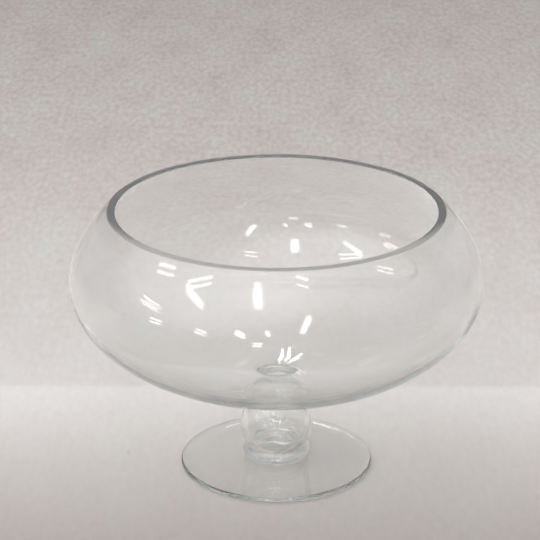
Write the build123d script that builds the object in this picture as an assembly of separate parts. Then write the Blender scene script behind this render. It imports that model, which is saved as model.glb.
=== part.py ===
# Floating candle bowl: a clear blown bowl on a hollow ball stem with a round foot.
# Millimetres, +Z up. The origin is the middle of the foot at table level.
# Every piece is turned about the Z axis and rests on the one below it.
from build123d import *

import os
from math import acos, degrees, sqrt

# Foot plate
foot_diameter = 142.0
foot_edge_thickness = 3.5
foot_edge_bulge = 1.2  # how far the rounded edge stands out
foot_height = 5.5  # at the middle, where the ring sits
foot_hollow_depth = 1.5  # shallow dish under the foot
foot_stand_width = 11.0  # flat band that touches the table

# Ring between the foot and the ball
ring_height = 9.3
ring_bulge = 3.2  # how far the rounded edge stands out
ring_margin = 0.3  # flat left outside the ball's open end

# Hollow ball of the stem
ball_diameter = 53.5
ball_wall = 4.5
ball_cut = 10.8  # height cut off the bottom, where the ball stays open

# Neck between the ball and the bowl
neck_height = 9.5  # on the axis, from the top of the ball to the bowl
neck_diameter = 22.0  # where it leaves the ball
neck_flare = 5.0  # how much further out each side reaches under the bowl

# Bowl
bowl_diameter = 300.0  # at the belly
bowl_drop = 79.0  # from the belly down to the underside
shoulder_height = 54.0  # from the belly up to the rim
mouth_diameter = 243.0  # outer edge of the ground rim
wall_thickness = 3.0  # at the belly, where it is blown thinnest
base_thickness = 5.0  # in the middle of the bottom
rim_width = 6.0  # flat ground band
rim_bevel = 0.5

# Radii
foot_radius = foot_diameter / 2
foot_flat_radius = foot_radius - foot_edge_bulge
stand_radius = foot_flat_radius - foot_stand_width
ball_radius = ball_diameter / 2
ball_bore_radius = ball_radius - ball_wall
neck_radius = neck_diameter / 2
flare_radius = neck_radius + neck_flare
bowl_radius = bowl_diameter / 2
belly_bore_radius = bowl_radius - wall_thickness
mouth_radius = mouth_diameter / 2
mouth_bore_radius = mouth_radius - rim_width

# The open end of the ball stands on the ring
seat_drop = ball_radius - ball_cut
seat_radius = sqrt(ball_radius**2 - seat_drop**2)
seat_bore_radius = sqrt(ball_bore_radius**2 - seat_drop**2)
ring_flat_radius = seat_radius + ring_margin
ring_radius = ring_flat_radius + ring_bulge

# Heights, from the table up
ring_top_z = foot_height + ring_height
ball_z = ring_top_z + seat_drop
ball_top_z = ball_z + ball_radius
underside_z = ball_top_z + neck_height
belly_z = underside_z + bowl_drop
shoulder_mid_z = belly_z + shoulder_height / 2
rim_z = belly_z + shoulder_height


def turned(*edges):
    """Solid of revolution about Z from a closed outline drawn in radius and height."""
    outline = make_face(Curve() + list(edges))
    return revolve(Plane.XZ * outline, Axis.Z)


def arc_angle(radius, full_radius):
    """Angle in degrees, above the belly line, where an arc of the full radius narrows to a radius."""
    return degrees(acos(radius / full_radius))


def make_foot():
    """Thin round plate, dished underneath, that rises a little towards the ring."""
    top_edge = (foot_flat_radius, foot_edge_thickness)
    ring_edge = (ring_flat_radius, foot_height)
    dish = TangentArc((0, foot_hollow_depth), (stand_radius, 0), tangent=(1, 0))
    stand = Line((stand_radius, 0), (foot_flat_radius, 0))
    edge = ThreePointArc((foot_flat_radius, 0), (foot_radius, foot_edge_thickness / 2), top_edge)
    top = TangentArc(top_edge, ring_edge, tangent=(-1, 0))
    ring_seat = Line(ring_edge, (0, foot_height))
    axis = Line((0, foot_height), (0, foot_hollow_depth))
    return turned(dish, stand, edge, top, ring_seat, axis)


def make_ring():
    """Wafer with a rounded edge between the foot and the ball, dished to finish the ball's hollow."""
    lower_edge = (ring_flat_radius, foot_height)
    upper_edge = (ring_flat_radius, ring_top_z)
    bore_angle = arc_angle(seat_bore_radius, ball_bore_radius)
    bottom = Line((0, foot_height), lower_edge)
    edge = ThreePointArc(lower_edge, (ring_radius, foot_height + ring_height / 2), upper_edge)
    top = Line(upper_edge, (seat_bore_radius, ring_top_z))
    dish = CenterArc((0, ball_z), ball_bore_radius, -90, 90 - bore_angle)
    axis = Line(dish @ 0, (0, foot_height))
    return turned(bottom, edge, top, dish, axis)


def make_ball():
    """Blown ball with an even wall, open at the bottom where the ring closes it."""
    outer_angle = -arc_angle(seat_radius, ball_radius)
    bore_angle = -arc_angle(seat_bore_radius, ball_bore_radius)
    outside = CenterArc((0, ball_z), ball_radius, outer_angle, 90 - outer_angle)
    crown = Line((0, ball_top_z), (0, ball_top_z - ball_wall))
    inside = CenterArc((0, ball_z), ball_bore_radius, bore_angle, 90 - bore_angle)
    seat = Line((seat_bore_radius, ring_top_z), (seat_radius, ring_top_z))
    return turned(outside, crown, inside, seat)


def make_neck():
    """Short post that saddles the ball and flares out under the bowl."""
    ball_angle = arc_angle(neck_radius, ball_radius)
    bowl_angle = arc_angle(flare_radius, bowl_radius)
    ball_saddle = CenterArc((0, ball_z), ball_radius, ball_angle, 90 - ball_angle)
    bowl_saddle = EllipticalCenterArc((0, belly_z), bowl_radius, bowl_drop, -90, arc_size=90 - bowl_angle)
    flare = TangentArc(ball_saddle @ 0, bowl_saddle @ 1, tangent=(0, 1))
    axis = Line((0, ball_top_z), (0, underside_z))
    return turned(ball_saddle, flare, bowl_saddle, axis)


def make_bowl():
    """Squat bowl with a thick bottom, a shoulder that leans in and a flat ground rim."""
    outside = EllipticalCenterArc((0, belly_z), bowl_radius, bowl_drop, -90, arc_size=90)
    shoulder = Bezier((bowl_radius, belly_z), (bowl_radius, shoulder_mid_z), (mouth_radius, rim_z))
    rim = Line((mouth_radius, rim_z), (mouth_bore_radius, rim_z))
    bore_top = (mouth_bore_radius, rim_z)
    bore_shoulder = Bezier(bore_top, (belly_bore_radius, shoulder_mid_z), (belly_bore_radius, belly_z))
    inside = EllipticalCenterArc((0, belly_z), belly_bore_radius, bowl_drop - base_thickness, -90, arc_size=90)
    axis = Line((0, underside_z), (0, underside_z + base_thickness))
    blank = turned(outside, shoulder, rim, bore_shoulder, inside, axis)
    rim_edges = blank.edges().group_by(Axis.Z)[-1]
    return chamfer(rim_edges, rim_bevel)


pieces = {
    "foot": make_foot(),
    "collar_ring": make_ring(),
    "ball_stem": make_ball(),
    "neck": make_neck(),
    "bowl": make_bowl(),
}

os.makedirs("parts", exist_ok=True)
for name, piece in pieces.items():
    export_step(piece, f"parts/{name}.step")
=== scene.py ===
from math import acos, asin, cos, degrees, pi, radians, sin

import bmesh
import bpy
from mathutils import Matrix, Vector, noise


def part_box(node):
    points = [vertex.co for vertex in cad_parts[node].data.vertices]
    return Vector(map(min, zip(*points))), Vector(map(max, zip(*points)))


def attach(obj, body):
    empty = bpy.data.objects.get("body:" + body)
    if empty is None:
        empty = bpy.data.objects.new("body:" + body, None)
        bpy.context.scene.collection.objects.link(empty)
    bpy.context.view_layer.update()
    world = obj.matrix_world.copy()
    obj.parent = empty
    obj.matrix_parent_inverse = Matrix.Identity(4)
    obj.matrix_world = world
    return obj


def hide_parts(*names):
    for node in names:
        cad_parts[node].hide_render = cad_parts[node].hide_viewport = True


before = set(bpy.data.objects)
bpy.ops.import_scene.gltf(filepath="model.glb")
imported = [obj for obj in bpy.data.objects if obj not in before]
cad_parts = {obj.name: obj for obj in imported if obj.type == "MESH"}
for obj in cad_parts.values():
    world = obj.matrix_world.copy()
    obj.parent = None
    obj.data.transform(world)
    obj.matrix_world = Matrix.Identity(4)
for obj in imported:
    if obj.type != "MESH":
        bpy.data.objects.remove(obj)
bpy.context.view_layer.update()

# A floating candle bowl of clear blown glass. Metres, +Z up, -Y towards the camera.
# Every piece is turned about the axis, and sinks a hair into the one below, as hot-joined glass does.

# Sizes that the boxes of the solids don't give
FOOT_EDGE_BULGE = 0.00175
FOOT_EDGE_THICKNESS = 0.0035
FOOT_HOLLOW = 0.0015
FOOT_STAND_WIDTH = 0.011
RING_BULGE = 0.0032
BALL_WALL = 0.0045
NECK_RADIUS = 0.011
BELLY_DROP = 0.079
MOUTH_RADIUS = 0.1215
WALL = 0.003
BASE = 0.005
RIM_WIDTH = 0.006
RIM_BEVEL = 0.0009
SEAM = 0.0002

# Mesh: faces round the axis, and steps along the curves of an outline
SEGMENTS = 256
SHOULDER_STEPS = 80
WALL_STEPS = 64
FOOT_TOP_STEPS = 40
FOOT_DISH_STEPS = 32
SHORT_STEPS = 24
FOOT_EDGE_STEPS = 16
RIM_EDGE_STEPS = 5
ON_AXIS = 1e-7
SHARP_ANGLE = 35.0

# How far the glass wanders from a true turned shape
WAVE_SEED = 2
WAVE_LENGTH = 0.05
WAVE_HEIGHT = 0.00022
RIPPLE_LENGTH = 0.006
RIPPLE_HEIGHT = 0.00013
LEVEL_BELOW = 0.012

# Glass
GLASS_IOR = 1.5
DEPTH_COLOUR = (0.86, 0.875, 0.868)
DEPTH_DENSITY = 10.0
TINT_SCALE = 14.0
TINT_STOPS = ((0.0, (0.975, 0.978, 0.974)), (1.0, (0.992, 0.993, 0.99)))
SMEAR_SCALE = 60.0
SMEAR_SPAN = (0.35, 0.8)
SMEAR_ROUGHNESS = 0.04
SWELL_SCALE = 32.0
SWELL_STRENGTH = 0.15
SWELL_HEIGHT = 0.001
SEED_SCALE = 60.0
SEED_SIZE = 0.035
SEED_STRENGTH = 0.6
SEED_DEPTH = 0.0003

# Ground rim: it reaches a little down the bevels, and fades over the edge. Its roughness is real; its
# darker grey base colour is painted shade
GROUND_DEPTH = 0.00035
GROUND_EDGE = 0.0001
GROUND_ROUGHNESS = 0.3
# Painted shade: darker grey base colour on the ground rim
GROUND_RIM_PAINTED_SHADE = (0.45, 0.455, 0.452)

# Film and dust on the glass, by share of the height
FILM_ROUGHNESS = 0.25
FILM_STOPS = ((0.022, 0.22), (0.03, 0.0), (0.5, 0.0), (0.75, 0.32))
DUST_STOPS = ((0.62, 0.0), (0.74, 0.55), (0.955, 0.55), (0.975, 0.0))

# Camera
IMAGE_SIDE = 540
FOCAL_PIXELS = 2282.4
SENSOR_MM = 36.0
CAMERA_AWAY = 1.5372
CAMERA_HEIGHT = 0.7614
CAMERA_PITCH = 21.61
CAMERA_YAW = 0.176

# Light: directions are azimuth and elevation in degrees from the bowl
LAMP_DISTANCE = 4.0
LAMP_RADIANCE = 10.0
TUBE_SPREAD = 2.2
TWIN_GAP = 3.6
TWIN_RADIANCE = 22.0
END_FADE = 0.12
SIDE_FADE = 0.5
LIGHT_CENTRE = Vector((0.0, 0.0, 0.12))
FILL_LEVEL = 0.48
SOFTBOX_LEVEL = 1.22
SOFTBOX_PLACE = (-55.0, 60.0)
SOFTBOX_EDGES = (62.0, 18.0)
LIGHT_BOUNCES = 128

# Floor: its tone by the distance behind the bowl's axis, with a step behind the foot. The step is the
# floor's own two tones; the brightness that peaks behind the foot and falls off both ways is painted light
FLOOR_SIDE = 16.0
FLOOR_GAP = 0.0002
FLOOR_ROUGHNESS = 0.8
FLOOR_SHINE = 0.2
# Painted light: levels rise to a pool behind the foot and fall off towards and away from the camera; the
# step at 0.128 to 0.134 is a two-tone floor
FLOOR_LEVELS_AND_PAINTED_LIGHT = ((-0.126, 0.40), (0.0, 0.54), (0.068, 0.63), (0.128, 0.70), (0.134, 0.625),
               (0.27, 0.595), (0.46, 0.555), (0.69, 0.485), (1.33, 0.395))
# Painted shade on the floor is made warmer as it darkens
GREEN_POWER = 1.09
BLUE_POWER = 1.15
FLOOR_STRETCH = 0.37
BLOTCH_SCALE = 20.0
BLOTCH_ROUGHNESS = 0.64
BLOTCH_STOPS = ((0.3, (0.94, 0.9, 0.895)), (0.52, (1.01, 0.99, 0.99)), (0.72, (0.99, 1.07, 1.065)))
GRAIN_SCALE = 190.0
GRAIN_SPAN = (0.25, 0.75)
GRAIN_TONES = (0.86, 1.14)
SPECK_SCALE = 16.0
SPECK_SPAN = (0.015, 0.035)
SPECK_TONES = (0.75, 1.0)
MOTTLE_SPAN = (0.1, 0.8)
MOTTLE_SHARES = (0.25, 1.0)

# Heights and radii from the solids
bowl_low, bowl_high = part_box("bowl")
neck_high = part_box("neck")[1]
ball_low, ball_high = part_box("ball_stem")
ring_low, ring_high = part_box("collar_ring")
foot_low, foot_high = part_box("foot")
bowl_radius = bowl_high.x
rim_z = bowl_high.z
underside_z = bowl_low.z
belly_z = underside_z + BELLY_DROP
flare_radius = neck_high.x
ball_radius = ball_high.x
ball_z = ball_high.z - ball_radius
seat_z = ball_low.z
ring_radius = ring_high.x
ring_flat_radius = ring_radius - RING_BULGE
foot_radius = foot_high.x
foot_flat_radius = foot_radius - FOOT_EDGE_BULGE


def arc(middle, reach, rise, start, end, steps):
    """Points of an ellipse about a middle in radius and height, between two angles in degrees."""
    angles = [radians(start + (end - start) * k / steps) for k in range(steps + 1)]
    return [(middle[0] + reach * cos(a), middle[1] + rise * sin(a)) for a in angles]


def curve(start, pull, end, steps):
    """Points of a parabola that leaves start towards pull and reaches end from there."""
    points = []
    for k in range(steps + 1):
        t = k / steps
        weights = ((1 - t) ** 2, 2 * t * (1 - t), t * t)
        points.append(tuple(sum(w * p[i] for w, p in zip(weights, (start, pull, end))) for i in range(2)))
    return points


def bulge(lower, upper, out, steps):
    """Points of a round edge between two points above each other, that stands out by out."""
    half = (upper[1] - lower[1]) / 2
    radius = (half**2 + out**2) / (2 * out)
    angle = degrees(asin(half / radius))
    middle = (lower[0] + out - radius, lower[1] + half)
    return arc(middle, radius, radius, -angle, angle, steps)


def uneven(point, ripple):
    """Moves a point as blown glass wanders from a true turned shape; level surfaces at the table stay."""
    shift = noise.noise_vector(point / WAVE_LENGTH) * WAVE_HEIGHT
    shift += noise.noise_vector(point / RIPPLE_LENGTH) * ripple
    shift.z *= min(1.0, point.z / LEVEL_BELOW)
    return point + shift


def turned(name, profile, material, ripple):
    """Closed mesh of revolution about Z; the outline, in radius and height, runs up the outside."""
    mesh = bmesh.new()
    rings = []
    for radius, height in profile:
        count = SEGMENTS if radius > ON_AXIS else 1
        angles = [2 * pi * k / SEGMENTS for k in range(count)]
        spots = [Vector((radius * cos(angle), radius * sin(angle), height)) for angle in angles]
        rings.append([mesh.verts.new(uneven(spot, ripple)) for spot in spots])
    for lower, upper in zip(rings, rings[1:] + rings[:1]):
        for k in range(SEGMENTS if len(lower) + len(upper) > 2 else 0):
            corners = [lower[k % len(lower)], lower[(k + 1) % len(lower)],
                       upper[(k + 1) % len(upper)], upper[k % len(upper)]]
            mesh.faces.new(list(dict.fromkeys(corners)))
    data = bpy.data.meshes.new(name)
    mesh.to_mesh(data)
    mesh.free()
    data.shade_smooth()
    data.set_sharp_from_angle(angle=radians(SHARP_ANGLE))
    data.materials.append(material)
    piece = bpy.data.objects.new(name, data)
    bpy.context.scene.collection.objects.link(piece)
    return piece


def bowl_outline():
    """Outside from the middle of the bottom up to the ground rim, then down the inside."""
    mid_z = (belly_z + rim_z) / 2
    bore_belly = bowl_radius - WALL
    bore_mouth = MOUTH_RADIUS - RIM_WIDTH
    outer_corner = (MOUTH_RADIUS, rim_z)
    inner_corner = (bore_mouth, rim_z)
    outside = arc((0, belly_z), bowl_radius, BELLY_DROP, -90, 0, WALL_STEPS)
    shoulder = curve((bowl_radius, belly_z), (bowl_radius, mid_z), outer_corner, SHOULDER_STEPS)[1:-1]
    bore_shoulder = curve(inner_corner, (bore_belly, mid_z), (bore_belly, belly_z), SHOULDER_STEPS)[1:-1]
    outer_edge = curve(shoulder[-1], outer_corner, (MOUTH_RADIUS - RIM_BEVEL, rim_z), RIM_EDGE_STEPS)[1:]
    inner_edge = curve((bore_mouth + RIM_BEVEL, rim_z), inner_corner, bore_shoulder[0], RIM_EDGE_STEPS)[:-1]
    inside = arc((0, belly_z), bore_belly, BELLY_DROP - BASE, 0, -90, WALL_STEPS)
    return outside + shoulder + outer_edge + inner_edge + bore_shoulder + inside


def neck_outline():
    """Saddle over the ball, the flare, and the saddle under the bowl."""
    inner_ball = ball_radius - SEAM
    angle = degrees(acos(NECK_RADIUS / inner_ball))
    saddle = arc((0, ball_z), inner_ball, inner_ball, 90, angle, SHORT_STEPS)
    edge = -degrees(acos(flare_radius / bowl_radius))
    under = arc((0, belly_z), bowl_radius, BELLY_DROP - SEAM, edge, -90, SHORT_STEPS)
    flare = curve(saddle[-1], (NECK_RADIUS, under[0][1]), under[0], SHORT_STEPS)[1:-1]
    return saddle + flare + under


def ball_outline():
    """Outside of the hollow ball from its open end to the crown, then down the inside."""
    bore = ball_radius - BALL_WALL
    rise = seat_z - SEAM - ball_z
    outside = arc((0, ball_z), ball_radius, ball_radius, degrees(asin(rise / ball_radius)), 90, WALL_STEPS)
    inside = arc((0, ball_z), bore, bore, 90, degrees(asin(rise / bore)), WALL_STEPS)
    return outside + inside


def ring_outline():
    """Wafer with a round edge, dished where it closes the hollow of the ball."""
    lower = (ring_flat_radius, ring_low.z)
    upper = (ring_flat_radius, ring_high.z)
    sunk = [(0, ring_low.z - SEAM), (ring_flat_radius, ring_low.z - SEAM)]
    hollow = ball_radius - BALL_WALL
    dish = arc((0, ball_z), hollow, hollow, degrees(asin((seat_z - ball_z) / hollow)), -90, SHORT_STEPS)
    return sunk + bulge(lower, upper, RING_BULGE, SHORT_STEPS) + dish


def foot_outline():
    """Dish underneath, the band that stands on the table, the round edge and the top."""
    stand_radius = foot_flat_radius - FOOT_STAND_WIDTH
    edge_low = (foot_flat_radius, 0.0)
    edge_high = (foot_flat_radius, FOOT_EDGE_THICKNESS)
    ring_edge = (ring_flat_radius, foot_high.z)
    dish = curve((0, FOOT_HOLLOW), (stand_radius / 2, FOOT_HOLLOW), (stand_radius, 0.0), FOOT_DISH_STEPS)
    edge = bulge(edge_low, edge_high, FOOT_EDGE_BULGE, FOOT_EDGE_STEPS)
    mid = (foot_flat_radius + ring_flat_radius) / 2
    top = curve(edge_high, (mid, FOOT_EDGE_THICKNESS), ring_edge, FOOT_TOP_STEPS)[1:]
    return dish + edge + top + [(0, foot_high.z)]


def node(tree, kind, **inputs):
    """New shader node with its sockets set by name; an underscore stands for a space."""
    made = tree.nodes.new(kind)
    for name, value in inputs.items():
        made.inputs[name.replace("_", " ")].default_value = value
    return made


def new_material(name):
    """Material with its node tree and its principled shader."""
    material = bpy.data.materials.new(name)
    material.use_nodes = True
    return material, material.node_tree, material.node_tree.nodes["Principled BSDF"]


def span(tree, value, source, target=(0.0, 1.0)):
    """Value moved from one range to another, and kept inside it."""
    mapped = node(tree, "ShaderNodeMapRange", From_Min=source[0], From_Max=source[1],
                  To_Min=target[0], To_Max=target[1])
    tree.links.new(value, mapped.inputs["Value"])
    return mapped.outputs["Result"]


def ramp(tree, value, stops):
    """Colour by value, from stops that each have a place from 0 to 1 and a colour."""
    made = node(tree, "ShaderNodeValToRGB")
    elements = made.color_ramp.elements
    while len(elements) < len(stops):
        elements.new(0.5)
    for element, (place, colour) in zip(elements, stops):
        element.position = place
        element.color = (*colour, 1.0)
    tree.links.new(value, made.inputs["Fac"])
    return made.outputs["Color"]


def greys(stops):
    """Stops of a ramp whose colours are plain amounts."""
    return [(share, (amount, amount, amount)) for share, amount in stops]


def mix(tree, factor, first, second):
    """Colour between two, where either may be a socket or a plain colour."""
    made = node(tree, "ShaderNodeMixRGB")
    tree.links.new(factor, made.inputs["Fac"])
    for name, colour in (("Color1", first), ("Color2", second)):
        if isinstance(colour, tuple):
            made.inputs[name].default_value = (*colour, 1.0)
        else:
            tree.links.new(colour, made.inputs[name])
    return made.outputs["Color"]


def multiply(tree, first, second):
    """Product of two colours or numbers."""
    product = node(tree, "ShaderNodeVectorMath")
    product.operation = "MULTIPLY"
    tree.links.new(first, product.inputs[0])
    tree.links.new(second, product.inputs[1])
    return product.outputs[0]


def cloud(tree, place, **inputs):
    """Noise texture's value at a place."""
    made = node(tree, "ShaderNodeTexNoise", **inputs)
    tree.links.new(place, made.inputs["Vector"])
    return made.outputs["Fac"]


def cell_distance(tree, place, scale):
    """Distance to the nearest of scattered points."""
    made = node(tree, "ShaderNodeTexVoronoi", Scale=scale)
    tree.links.new(place, made.inputs["Vector"])
    return made.outputs["Distance"]


def object_place(tree):
    """Place on the object, whole and as separate axes."""
    place = node(tree, "ShaderNodeTexCoord").outputs["Object"]
    split = node(tree, "ShaderNodeSeparateXYZ")
    tree.links.new(place, split.inputs[0])
    return place, split.outputs


def glass_roughness(tree, place, ground):
    """Smooth with faint smears, rough where the rim is ground."""
    smears = cloud(tree, place, Scale=SMEAR_SCALE, Detail=4.0)
    rough = node(tree, "ShaderNodeMath")
    rough.operation = "MULTIPLY_ADD"
    rough.inputs[1].default_value = GROUND_ROUGHNESS
    tree.links.new(ground, rough.inputs[0])
    tree.links.new(span(tree, smears, SMEAR_SPAN, (0.0, SMEAR_ROUGHNESS)), rough.inputs[2])
    return rough.outputs["Value"]


def glass_relief(tree, place):
    """Soft swells, and the small pits of seeds in the glass."""
    swells = node(tree, "ShaderNodeBump", Strength=SWELL_STRENGTH, Distance=SWELL_HEIGHT)
    pits = node(tree, "ShaderNodeBump", Strength=SEED_STRENGTH, Distance=SEED_DEPTH)
    seeds = span(tree, cell_distance(tree, place, SEED_SCALE), (0.0, SEED_SIZE), (1.0, 0.0))
    tree.links.new(cloud(tree, place, Scale=SWELL_SCALE, Detail=1.5), swells.inputs["Height"])
    tree.links.new(seeds, pits.inputs["Height"])
    tree.links.new(swells.outputs["Normal"], pits.inputs["Normal"])
    return pits.outputs["Normal"]


def glass_material():
    """Clear blown glass, grey-green in depth, with a ground rim in a painted shade of darker grey, and some
    film and dust.
    """
    material, tree, shader = new_material("clear_glass")
    shader.inputs["Transmission Weight"].default_value = 1.0
    shader.inputs["IOR"].default_value = GLASS_IOR
    shader.inputs["Coat Roughness"].default_value = FILM_ROUGHNESS
    place, axes = object_place(tree)
    height = span(tree, axes["Z"], (0.0, rim_z))
    ground_z = rim_z - GROUND_DEPTH
    ground = span(tree, axes["Z"], (ground_z - GROUND_EDGE, ground_z))
    tints = ramp(tree, cloud(tree, place, Scale=TINT_SCALE, Detail=2.0), TINT_STOPS)
    depth = node(tree, "ShaderNodeVolumeAbsorption", Color=(*DEPTH_COLOUR, 1.0), Density=DEPTH_DENSITY)
    link = tree.links.new
    # Painted shade: the ground rim's base colour is mixed to a darker grey
    link(mix(tree, ground, tints, GROUND_RIM_PAINTED_SHADE), shader.inputs["Base Color"])
    link(glass_roughness(tree, place, ground), shader.inputs["Roughness"])
    link(ramp(tree, height, greys(FILM_STOPS)), shader.inputs["Coat Weight"])
    link(ramp(tree, height, greys(DUST_STOPS)), shader.inputs["Sheen Weight"])
    link(glass_relief(tree, place), shader.inputs["Normal"])
    link(depth.outputs["Volume"], tree.nodes["Material Output"].inputs["Volume"])
    return material


def floor_tones_and_painted_light(tree, y):
    """Tone of the floor by distance, warmer where it is darker: painted light that peaks behind the foot
    and falls off both ways, with a two-tone step.
    """
    nearest, furthest = FLOOR_LEVELS_AND_PAINTED_LIGHT[0][0], FLOOR_LEVELS_AND_PAINTED_LIGHT[-1][0]
    stops = [((place - nearest) / (furthest - nearest), (level, level**GREEN_POWER, level**BLUE_POWER))
             for place, level in FLOOR_LEVELS_AND_PAINTED_LIGHT]
    return ramp(tree, span(tree, y, (nearest, furthest)), stops)


def floor_mottle(tree, place, y):
    """Rosy and grey blotches with grain, calmer close to the camera."""
    blotches = cloud(tree, place, Scale=BLOTCH_SCALE, Detail=5.0, Roughness=BLOTCH_ROUGHNESS)
    grain = cloud(tree, place, Scale=GRAIN_SCALE, Detail=3.0)
    mottle = multiply(tree, ramp(tree, blotches, BLOTCH_STOPS), span(tree, grain, GRAIN_SPAN, GRAIN_TONES))
    return mix(tree, span(tree, y, MOTTLE_SPAN, MOTTLE_SHARES), (1.0, 1.0, 1.0), mottle)


def floor_material():
    """Pale plaster, lightest behind the foot by painted light, with blotches, grain and a few specks."""
    material, tree, shader = new_material("pale_floor")
    shader.inputs["Roughness"].default_value = FLOOR_ROUGHNESS
    shader.inputs["Specular IOR Level"].default_value = FLOOR_SHINE
    place, axes = object_place(tree)
    stretch = node(tree, "ShaderNodeMapping", Scale=(1.0, FLOOR_STRETCH, 1.0))
    tree.links.new(place, stretch.inputs["Vector"])
    grained = stretch.outputs["Vector"]
    specks = span(tree, cell_distance(tree, grained, SPECK_SCALE), SPECK_SPAN, SPECK_TONES)
    # Painted light: the floor's tone peaks behind the foot and darkens away from it
    colour = multiply(tree, floor_tones_and_painted_light(tree, axes["Y"]), floor_mottle(tree, grained, axes["Y"]))
    tree.links.new(multiply(tree, colour, specks), shader.inputs["Base Color"])
    return material


def add_floor():
    """Level floor under the foot, out past every view."""
    half = FLOOR_SIDE / 2
    corners = [(-half, -half, 0), (half, -half, 0), (half, half, 0), (-half, half, 0)]
    data = bpy.data.meshes.new("floor")
    data.from_pydata(corners, [], [(0, 1, 2, 3)])
    data.materials.append(floor_material())
    floor = bpy.data.objects.new("floor", data)
    floor.location.z = foot_low.z - FLOOR_GAP
    bpy.context.scene.collection.objects.link(floor)


def direction(azimuth, elevation):
    """Unit vector from the bowl; azimuth in degrees from the camera's side towards +X."""
    a, e = radians(azimuth), radians(elevation)
    return Vector((sin(a) * cos(e), -cos(a) * cos(e), sin(e)))


def strip_lamp(name, start, end, width, radiance):
    """Long area lamp that spans two directions from the bowl; width in degrees."""
    ends = [direction(*spot) * LAMP_DISTANCE for spot in (start, end)]
    along = (ends[1] - ends[0]).normalized()
    away = ((ends[0] + ends[1]) / 2).normalized()
    along = (along - away * along.dot(away)).normalized()
    across = away.cross(along)
    light = bpy.data.lights.new(name, "AREA")
    light.shape = "RECTANGLE"
    light.size = (ends[1] - ends[0]).length
    light.size_y = radians(width) * LAMP_DISTANCE
    light.energy = radiance * pi * light.size * light.size_y
    lamp = bpy.data.objects.new(name, light)
    turn = Matrix((along, across, away)).transposed()
    lamp.matrix_world = Matrix.Translation(LIGHT_CENTRE + away * LAMP_DISTANCE) @ turn.to_4x4()
    bpy.context.scene.collection.objects.link(lamp)
    return light


def soften(light):
    """Fades a lamp out towards its sides and its ends, as a tube behind a diffuser does."""
    light.use_nodes = True
    tree = light.node_tree
    place = node(tree, "ShaderNodeNewGeometry")
    split = node(tree, "ShaderNodeSeparateXYZ")
    tree.links.new(place.outputs["Parametric"], split.inputs[0])
    fades = []
    for axis, reach in (("X", END_FADE), ("Y", SIDE_FADE)):
        inward = node(tree, "ShaderNodeMath")
        inward.operation = "PINGPONG"
        inward.inputs[1].default_value = 0.5
        fade = node(tree, "ShaderNodeMapRange", From_Max=reach)
        fade.interpolation_type = "SMOOTHSTEP"
        tree.links.new(split.outputs[axis], inward.inputs[0])
        tree.links.new(inward.outputs["Value"], fade.inputs["Value"])
        fades.append(fade.outputs["Result"])
    tree.links.new(multiply(tree, *fades), tree.nodes["Emission"].inputs["Strength"])


def tube(name, start, end, width, radiance=LAMP_RADIANCE):
    """Ceiling tube with soft edges; width in degrees at half its brightness."""
    soften(strip_lamp(name, start, end, width * TUBE_SPREAD, radiance))


def twin(name, start, end, width):
    """Two tubes of one fixture, the second below the first."""
    tube(name, start, end, width, TWIN_RADIANCE)
    lower = [(azimuth, elevation - TWIN_GAP) for azimuth, elevation in (start, end)]
    tube(name + "_lower", *lower, width, TWIN_RADIANCE)


def add_lamps():
    """Tubes of a room's ceiling, as the highlights in the glass place them."""
    tube("high_left", (-12.6, 44), (-18, 63), 2.7)
    tube("left", (-45, 37), (-69, 47), 2.0)
    tube("left_high", (-69, 47), (-57, 58), 1.8)
    twin("far_left", (-68.8, 24), (-83.3, 25), 0.6)
    twin("far_left_low", (-62.8, 11), (-70.8, 11.4), 0.6)
    tube("right", (12.5, 16), (20, 37), 2.2)
    twin("front", (-16.4, 14.3), (-21.8, 19.4), 0.9)
    tube("front_thin", (-4.2, 14.6), (-5.6, 21.4), 1.4)
    twin("front_low", (-7.1, 4.6), (-12.5, 4.2), 1.0)
    twin("low_left", (-35.7, 11.3), (-43.7, 14.2), 0.7)
    tube("overhead", (21, 66), (31, 62), 1.4)
    tube("side", (-85, 48.7), (-95.8, 42.4), 1.6)
    strip_lamp("back", (180.5, 37), (180.2, 28.5), 0.3, LAMP_RADIANCE)
    strip_lamp("back_right", (181.8, 38), (181.0, 30), 0.4, LAMP_RADIANCE)
    strip_lamp("back_far_right", (183.2, 33.5), (181.4, 28.5), 0.35, LAMP_RADIANCE)


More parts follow.
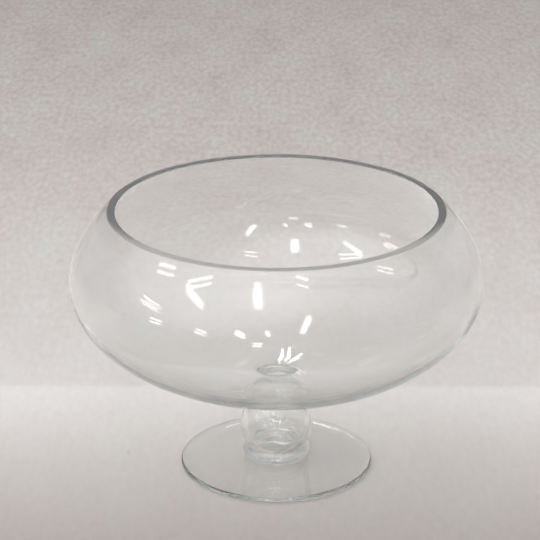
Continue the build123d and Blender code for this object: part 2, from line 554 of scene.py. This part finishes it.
def add_world():
    """Even fill from all round, and a wide soft light high on the left."""
    world = bpy.data.worlds.new("dome")
    bpy.context.scene.world = world
    world.use_nodes = True
    tree = world.node_tree
    back = tree.nodes["Background"]
    back.inputs["Color"].default_value = (1.0, 1.0, 1.0, 1.0)
    place = node(tree, "ShaderNodeTexCoord")
    towards = node(tree, "ShaderNodeVectorMath")
    towards.operation = "DOT_PRODUCT"
    towards.inputs[1].default_value = direction(*SOFTBOX_PLACE)
    outer, inner = (cos(radians(edge)) for edge in SOFTBOX_EDGES)
    level = node(tree, "ShaderNodeMapRange", From_Min=outer, From_Max=inner,
                 To_Min=FILL_LEVEL, To_Max=FILL_LEVEL + SOFTBOX_LEVEL)
    level.interpolation_type = "SMOOTHSTEP"
    link = tree.links.new
    link(place.outputs["Generated"], towards.inputs[0])
    link(towards.outputs["Value"], level.inputs["Value"])
    link(level.outputs["Result"], back.inputs["Strength"])


def add_light_paths():
    """Lets light run on inside the thick glass and pass through it unblurred."""
    cycles = bpy.context.scene.cycles
    cycles.max_bounces = LIGHT_BOUNCES
    cycles.glossy_bounces = LIGHT_BOUNCES
    cycles.transmission_bounces = LIGHT_BOUNCES
    cycles.blur_glossy = 0.0


def add_camera():
    """Camera at the photograph's place."""
    data = bpy.data.cameras.new("camera")
    data.sensor_width = SENSOR_MM
    data.lens = SENSOR_MM * FOCAL_PIXELS / IMAGE_SIDE
    camera = bpy.data.objects.new("camera", data)
    camera.location = (0.0, -CAMERA_AWAY, CAMERA_HEIGHT)
    camera.rotation_euler = (radians(90 - CAMERA_PITCH), 0.0, radians(CAMERA_YAW))
    bpy.context.scene.collection.objects.link(camera)
    bpy.context.scene.camera = camera


def add_piece(name, outline, material, replaced, ripple=0.0):
    """Turned piece of glass in place of a solid."""
    piece = turned(name, outline, material, ripple)
    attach(piece, "root")
    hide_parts(replaced)


noise.seed_set(WAVE_SEED)
glass = glass_material()
add_piece("foot_glass", foot_outline(), glass, "foot")
add_piece("ring_glass", ring_outline(), glass, "collar_ring", RIPPLE_HEIGHT)
add_piece("ball_glass", ball_outline(), glass, "ball_stem", RIPPLE_HEIGHT)
add_piece("neck_glass", neck_outline(), glass, "neck")
add_piece("bowl_glass", bowl_outline(), glass, "bowl")
add_floor()
add_lamps()
add_world()
add_camera()
bpy.context.scene.view_settings.view_transform = "Standard"
add_light_paths()
